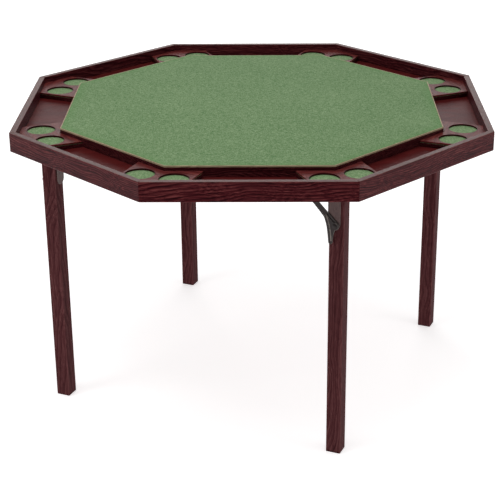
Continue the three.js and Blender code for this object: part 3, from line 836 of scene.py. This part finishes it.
def rounded_rectangle(low_u, high_u, low_v, high_v, radius):
    return [
        *arc((high_u - radius, low_v + radius), radius, -90, 0, 6),
        *arc((high_u - radius, high_v - radius), radius, 0, 90, 6),
        *arc((low_u + radius, high_v - radius), radius, 90, 180, 6),
        *arc((low_u + radius, low_v + radius), radius, 180, 270, 6),
    ]


def bracket_mesh():
    """A plate under the top, with two ears that hold the pivot bolt."""
    plate = rounded_rectangle(-BRACKET_HALF_LENGTH, BRACKET_HALF_LENGTH, -BRACKET_HALF_WIDTH,
                              BRACKET_HALF_WIDTH, BRACKET_CORNER)
    base = plate_mesh(plate, [], UNDERSIDE - SHEET, UNDERSIDE, SHEET_EDGE, SHEET_BORDER, 2)
    near = side_mesh(ear_outline(), [bolt_hole()], BRACE_INSIDE, BRACE_OUTSIDE)
    far = side_mesh(ear_outline(), [bolt_hole()], -BRACE_OUTSIDE, -BRACE_INSIDE)
    return merged(base, near, far)


def screw_mesh(u, v, w):
    """The head of a round-headed wood screw under a plate, with a round recess, head down."""
    radius = SCREW_RADIUS
    height = SCREW_HEIGHT
    profile = [(0, 0.2 * MM), (radius, 0.2 * MM), (radius * 0.96, -height * 0.45),
               (radius * 0.72, -height * 0.85), (radius * 0.35, -height),
               (radius * 0.33, -height * 0.55), (0, -height * 0.35)]
    return moved(turned_mesh(profile, 20), Matrix.Translation((u, v, w)))


def bolt_mesh():
    """The pivot bolt, with a domed head at one end and a hexagonal nut at the other."""
    shoulder = BRACE_OUTSIDE + GAP
    end = shoulder + BOLT_HEAD_HEIGHT
    domed = [(r, -(shoulder + h)) for r, h in dome(BOLT_HEAD_RADIUS, BOLT_HEAD_HEIGHT)][::-1]
    shaft = turned_mesh([*domed, (BOLT_HEAD_RADIUS, -shoulder), (BOLT_RADIUS, -shoulder),
                         (BOLT_RADIUS, shoulder + 3.6 * MM), (BOLT_RADIUS * 0.8, end), (0, end)], 32)
    hexagon = arc((0, 0), NUT_RADIUS, 0, 360, 6)[:-1]
    bore = circle((0, 0), BOLT_RADIUS + 0.02 * MM, 24)
    nut = plate_mesh(hexagon, [bore], shoulder, shoulder + NUT_HEIGHT, 0.4 * MM, 0.3 * MM, 2)
    return moved(merged(shaft, nut), Matrix.Rotation(-math.pi / 2, 4, "X"))


def brace_point(along, aside):
    """A point beside the line from the brace's pivot to its guide pin, in u and w."""
    direction = (BRACE_END - BRACE_PIVOT).normalized()
    normal = Vector((direction.y, -direction.x))
    return BRACE_PIVOT + direction * along + normal * aside


def brace_mesh():
    """The curved strap from the stud to the track, with its guide pin."""
    line = BRACE_END - BRACE_PIVOT
    angle = math.degrees(math.atan2(line.y, line.x))
    lobe_side = brace_point(0, BRACE_LOBE_RADIUS)
    hollow = brace_point(line.length * BRACE_HOLLOW_PLACE, BRACE_HOLLOW_ASIDE)
    tip_side = brace_point(line.length, BRACE_TIP_RADIUS)
    outline = [
        *arc(BRACE_END, BRACE_TIP_RADIUS, angle - 90, angle + 90, 16),
        *arc(BRACE_PIVOT, BRACE_LOBE_RADIUS, angle + 90, angle + 270, 24),
        *curve_between(lobe_side, hollow, tip_side, 20)[:-1],
    ]
    strap = side_mesh(outline, [bolt_hole(BRACE_PIVOT)], BRACE_INSIDE, BRACE_OUTSIDE, 0.6 * MM)
    length = TRACK_OUTSIDE + RUNNING_GAP - BRACE_OUTSIDE
    pin = pin_mesh(headed_pin(GUIDE_PIN_RADIUS, length, GUIDE_HEAD), BRACE_END, BRACE_OUTSIDE)
    return merged(strap, pin)


def lever_mesh():
    """The finger lever, with a raised bead along its inner side, painted bright as a highlight line."""
    end = arc(LEVER_END, LEVER_END_RADIUS, 180, 360, 12)
    outline = [
        LEVER_TOP_OUTER,
        LEVER_TOP_INNER,
        *curve_between(LEVER_TOP_INNER, LEVER_NECK_BEND, LEVER_EYE_TOP)[:-1],
        *arc(BRACE_PIVOT, LEVER_EYE_RADIUS, LEVER_EYE_START, LEVER_EYE_FINISH, 20),
        *curve_between(LEVER_EYE_BOTTOM, LEVER_INNER_BEND, end[0])[:-1],
        *end,
        *curve_between(end[-1], LEVER_LOWER_BEND, LEVER_OUTER_MIDDLE),
        *curve_between(LEVER_OUTER_MIDDLE, LEVER_UPPER_BEND, LEVER_TOP_OUTER)[:-1],
    ]
    blade = side_mesh(outline, [bolt_hole(BRACE_PIVOT)], LEVER_INSIDE, LEVER_OUTSIDE)
    spine = [BEAD_TOP, *curve_between(BEAD_TOP, BEAD_BEND, BEAD_END, 14)]
    left, right = beside_path(spine, BEAD_HALF_WIDTH)
    bead = side_mesh([*left, *reversed(right)], [], LEVER_OUTSIDE - 0.6 * MM,
                     LEVER_OUTSIDE + 0.35 * MM, edge=0.3 * MM, margin=0.2 * MM)
    # the whole bead is given a high edge amount, so it is painted bright: a painted highlight line
    wear_and_painted_light = bead.verts.layers.float["wear_and_painted_light"]
    for vertex in bead.verts:
        vertex[wear_and_painted_light] = BEAD_PAINTED_HIGHLIGHT
    return merged(blade, bead)


def guide_path(steps=24):
    """Where the guide pin runs as the leg folds, in u and w."""
    line = BRACE_END - BRACE_PIVOT
    start = math.atan2(line.y, line.x)
    end = math.asin((BRACE_END.y - BRACE_PIVOT.x) / line.length)
    points = []
    for step in range(steps + 1):
        part = step / steps
        turned = BRACE_PIVOT.copy()
        turned.rotate(Matrix.Rotation(part * math.pi / 2, 2))
        angle = start + part * (end - start)
        points.append(turned + Vector((math.cos(angle), math.sin(angle))) * line.length)
    return points


def heading(first, second):
    """The direction from one point to another, in degrees."""
    return math.degrees(math.atan2(second.y - first.y, second.x - first.x))


def track_span():
    """Where the track starts and ends along u."""
    return BRACE_END.x - TRACK_START_MARGIN, guide_path()[-1].x + TRACK_MARGIN


def track_mesh():
    """The slotted web that guides the brace's pin, and the flange that holds it up."""
    path = guide_path()
    radius = TRACK_SLOT_RADIUS
    left, right = beside_path(path, radius)
    far = heading(path[-2], path[-1])
    near = heading(path[0], path[1])
    slot = [*left, *arc(path[-1], radius, far + 90, far - 90, 10)[1:-1],
            *reversed(right), *arc(path[0], radius, near - 90, near - 270, 10)[1:-1]]
    start, end = track_span()
    bottom = min(point.y for point in path) - TRACK_MARGIN
    outline = rounded_rectangle(start, end, bottom, UNDERSIDE - SHEET_EDGE, 3 * MM)
    web = side_mesh(outline, [slot], TRACK_INSIDE, TRACK_OUTSIDE, margin=0.6 * MM)
    flange_edge = TRACK_INSIDE + TRACK_FLANGE_WIDTH
    outline = rounded_rectangle(start, end, TRACK_INSIDE, flange_edge, 1.5 * MM)
    flange = plate_mesh(outline, [], UNDERSIDE - SHEET, UNDERSIDE, SHEET_EDGE, SHEET_BORDER, 2)
    return merged(web, flange)


def screws_mesh():
    """The heads of the four bracket screws and the three track screws."""
    along, across = BRACKET_SCREW_PLACE
    places = [(u * along, v * across) for u in (-1, 1) for v in (-1, 1)]
    start, end = track_span()
    places += [(start + (end - start) * part, TRACK_INSIDE + TRACK_SCREW_OFFSET)
               for part in TRACK_SCREW_PARTS]
    return merged(*(screw_mesh(u, v, UNDERSIDE - SHEET) for u, v in places))


def make_legs():
    for name in LEG_NAMES:
        place = hardware_place(name)
        leg_body = f"leg_{name}"
        shift = (random.uniform(-3, 3), random.uniform(0.035, 0.075), random.uniform(0.03, 0.07))
        piece(f"oak_leg_{name}", leg_mesh(), LEG_OAK, leg_body, place, along="z",
              replaces=[f"leg_{name}"], shift=shift)
        piece(f"steel_channel_{name}", channel_mesh(), GREY_STEEL, leg_body, place,
              along="z", replaces=[f"leg_channel_{name}"])
        piece(f"brace_stud_{name}", stud_mesh(), BLACK_STEEL, leg_body, place,
              along="z")
        piece(f"steel_bracket_{name}", bracket_mesh(), GREY_STEEL, TOP_BODY, place,
              replaces=[f"leg_bracket_{name}"])
        piece(f"hinge_bolt_{name}", bolt_mesh(), BLACK_STEEL, TOP_BODY, place,
              along="y", replaces=[f"pivot_bolt_{name}"])
        piece(f"curved_brace_{name}", brace_mesh(), BLACK_STEEL, f"brace_{name}",
              place, along="z", replaces=[f"brace_{name}"])
        piece(f"finger_lever_{name}", lever_mesh(), BLACK_STEEL, f"lock_lever_{name}",
              place, along="z", replaces=[f"lock_lever_{name}"])
        piece(f"slotted_track_{name}", track_mesh(), GREY_STEEL, TOP_BODY, place,
              replaces=[f"brace_track_{name}"])
        piece(f"bracket_screws_{name}", screws_mesh(), BRIGHT_STEEL, TOP_BODY, place)


# ---- studio -------------------------------------------------------------------------------

def make_world():
    """A soft white surround that lights the scene dimly but looks white behind the floor."""
    world = bpy.data.worlds.new("studio")
    world.use_nodes = True
    tree = world.node_tree
    lighting = tree.nodes["Background"]
    seen = tree.nodes.new("ShaderNodeBackground")
    for background, strength in ((lighting, SURROUND_LIGHT), (seen, 1.0)):
        background.inputs["Color"].default_value = (1.0, 1.0, 1.0, 1.0)
        background.inputs["Strength"].default_value = strength
    path = tree.nodes.new("ShaderNodeLightPath")
    mix = tree.nodes.new("ShaderNodeMixShader")
    tree.links.new(path.outputs["Is Camera Ray"], mix.inputs[0])
    tree.links.new(lighting.outputs[0], mix.inputs[1])
    tree.links.new(seen.outputs[0], mix.inputs[2])
    tree.links.new(mix.outputs[0], tree.nodes["World Output"].inputs["Surface"])
    return world


def make_floor():
    data = bpy.data.meshes.new("floor")
    half = FLOOR_HALF_SIZE
    corners = [(-half, -half, 0), (half, -half, 0), (half, half, 0), (-half, half, 0)]
    data.from_pydata(corners, [], [(0, 1, 2, 3)])
    make = Nodes("pale_floor")
    make.finish(Base_Color=(0.9, 0.9, 0.9, 1), Roughness=0.9, Emission_Color=(1, 1, 1, 1),
                Emission_Strength=FLOOR_GLOW)
    data.materials.append(make.material)
    ground = bpy.data.objects.new("floor", data)
    bpy.context.scene.collection.objects.link(ground)


def make_light(name, position, size, power):
    light = bpy.data.lights.new(name, "AREA")
    light.size = size
    light.energy = power
    lamp = bpy.data.objects.new(name, light)
    lamp.location = position
    lamp.rotation_euler = (LIGHTS_AIM - lamp.location).to_track_quat("-Z", "Y").to_euler()
    lamp.visible_camera = False
    bpy.context.scene.collection.objects.link(lamp)


def make_studio():
    scene = bpy.context.scene
    scene.view_settings.view_transform = "Standard"
    scene.world = make_world()
    make_floor()
    for light in LIGHTS:
        make_light(*light)


def make_camera():
    data = bpy.data.cameras.new("camera")
    data.sensor_width = CAMERA_SENSOR
    data.lens = CAMERA_LENS
    camera = bpy.data.objects.new("camera", data)
    bpy.context.scene.collection.objects.link(camera)
    camera.matrix_world = (
        Matrix.Translation(CAMERA_PLACE)
        @ Matrix.Rotation(math.radians(CAMERA_HEADING), 4, "Z")
        @ Matrix.Rotation(math.radians(90 - CAMERA_DOWNWARD), 4, "X")
        @ Matrix.Rotation(math.radians(-CAMERA_ROLL), 4, "Z")
    )
    bpy.context.scene.camera = camera


make_camera()
make_studio()
make_rails()
make_corners()
make_playing_surface()
make_tray_board()
make_legs()
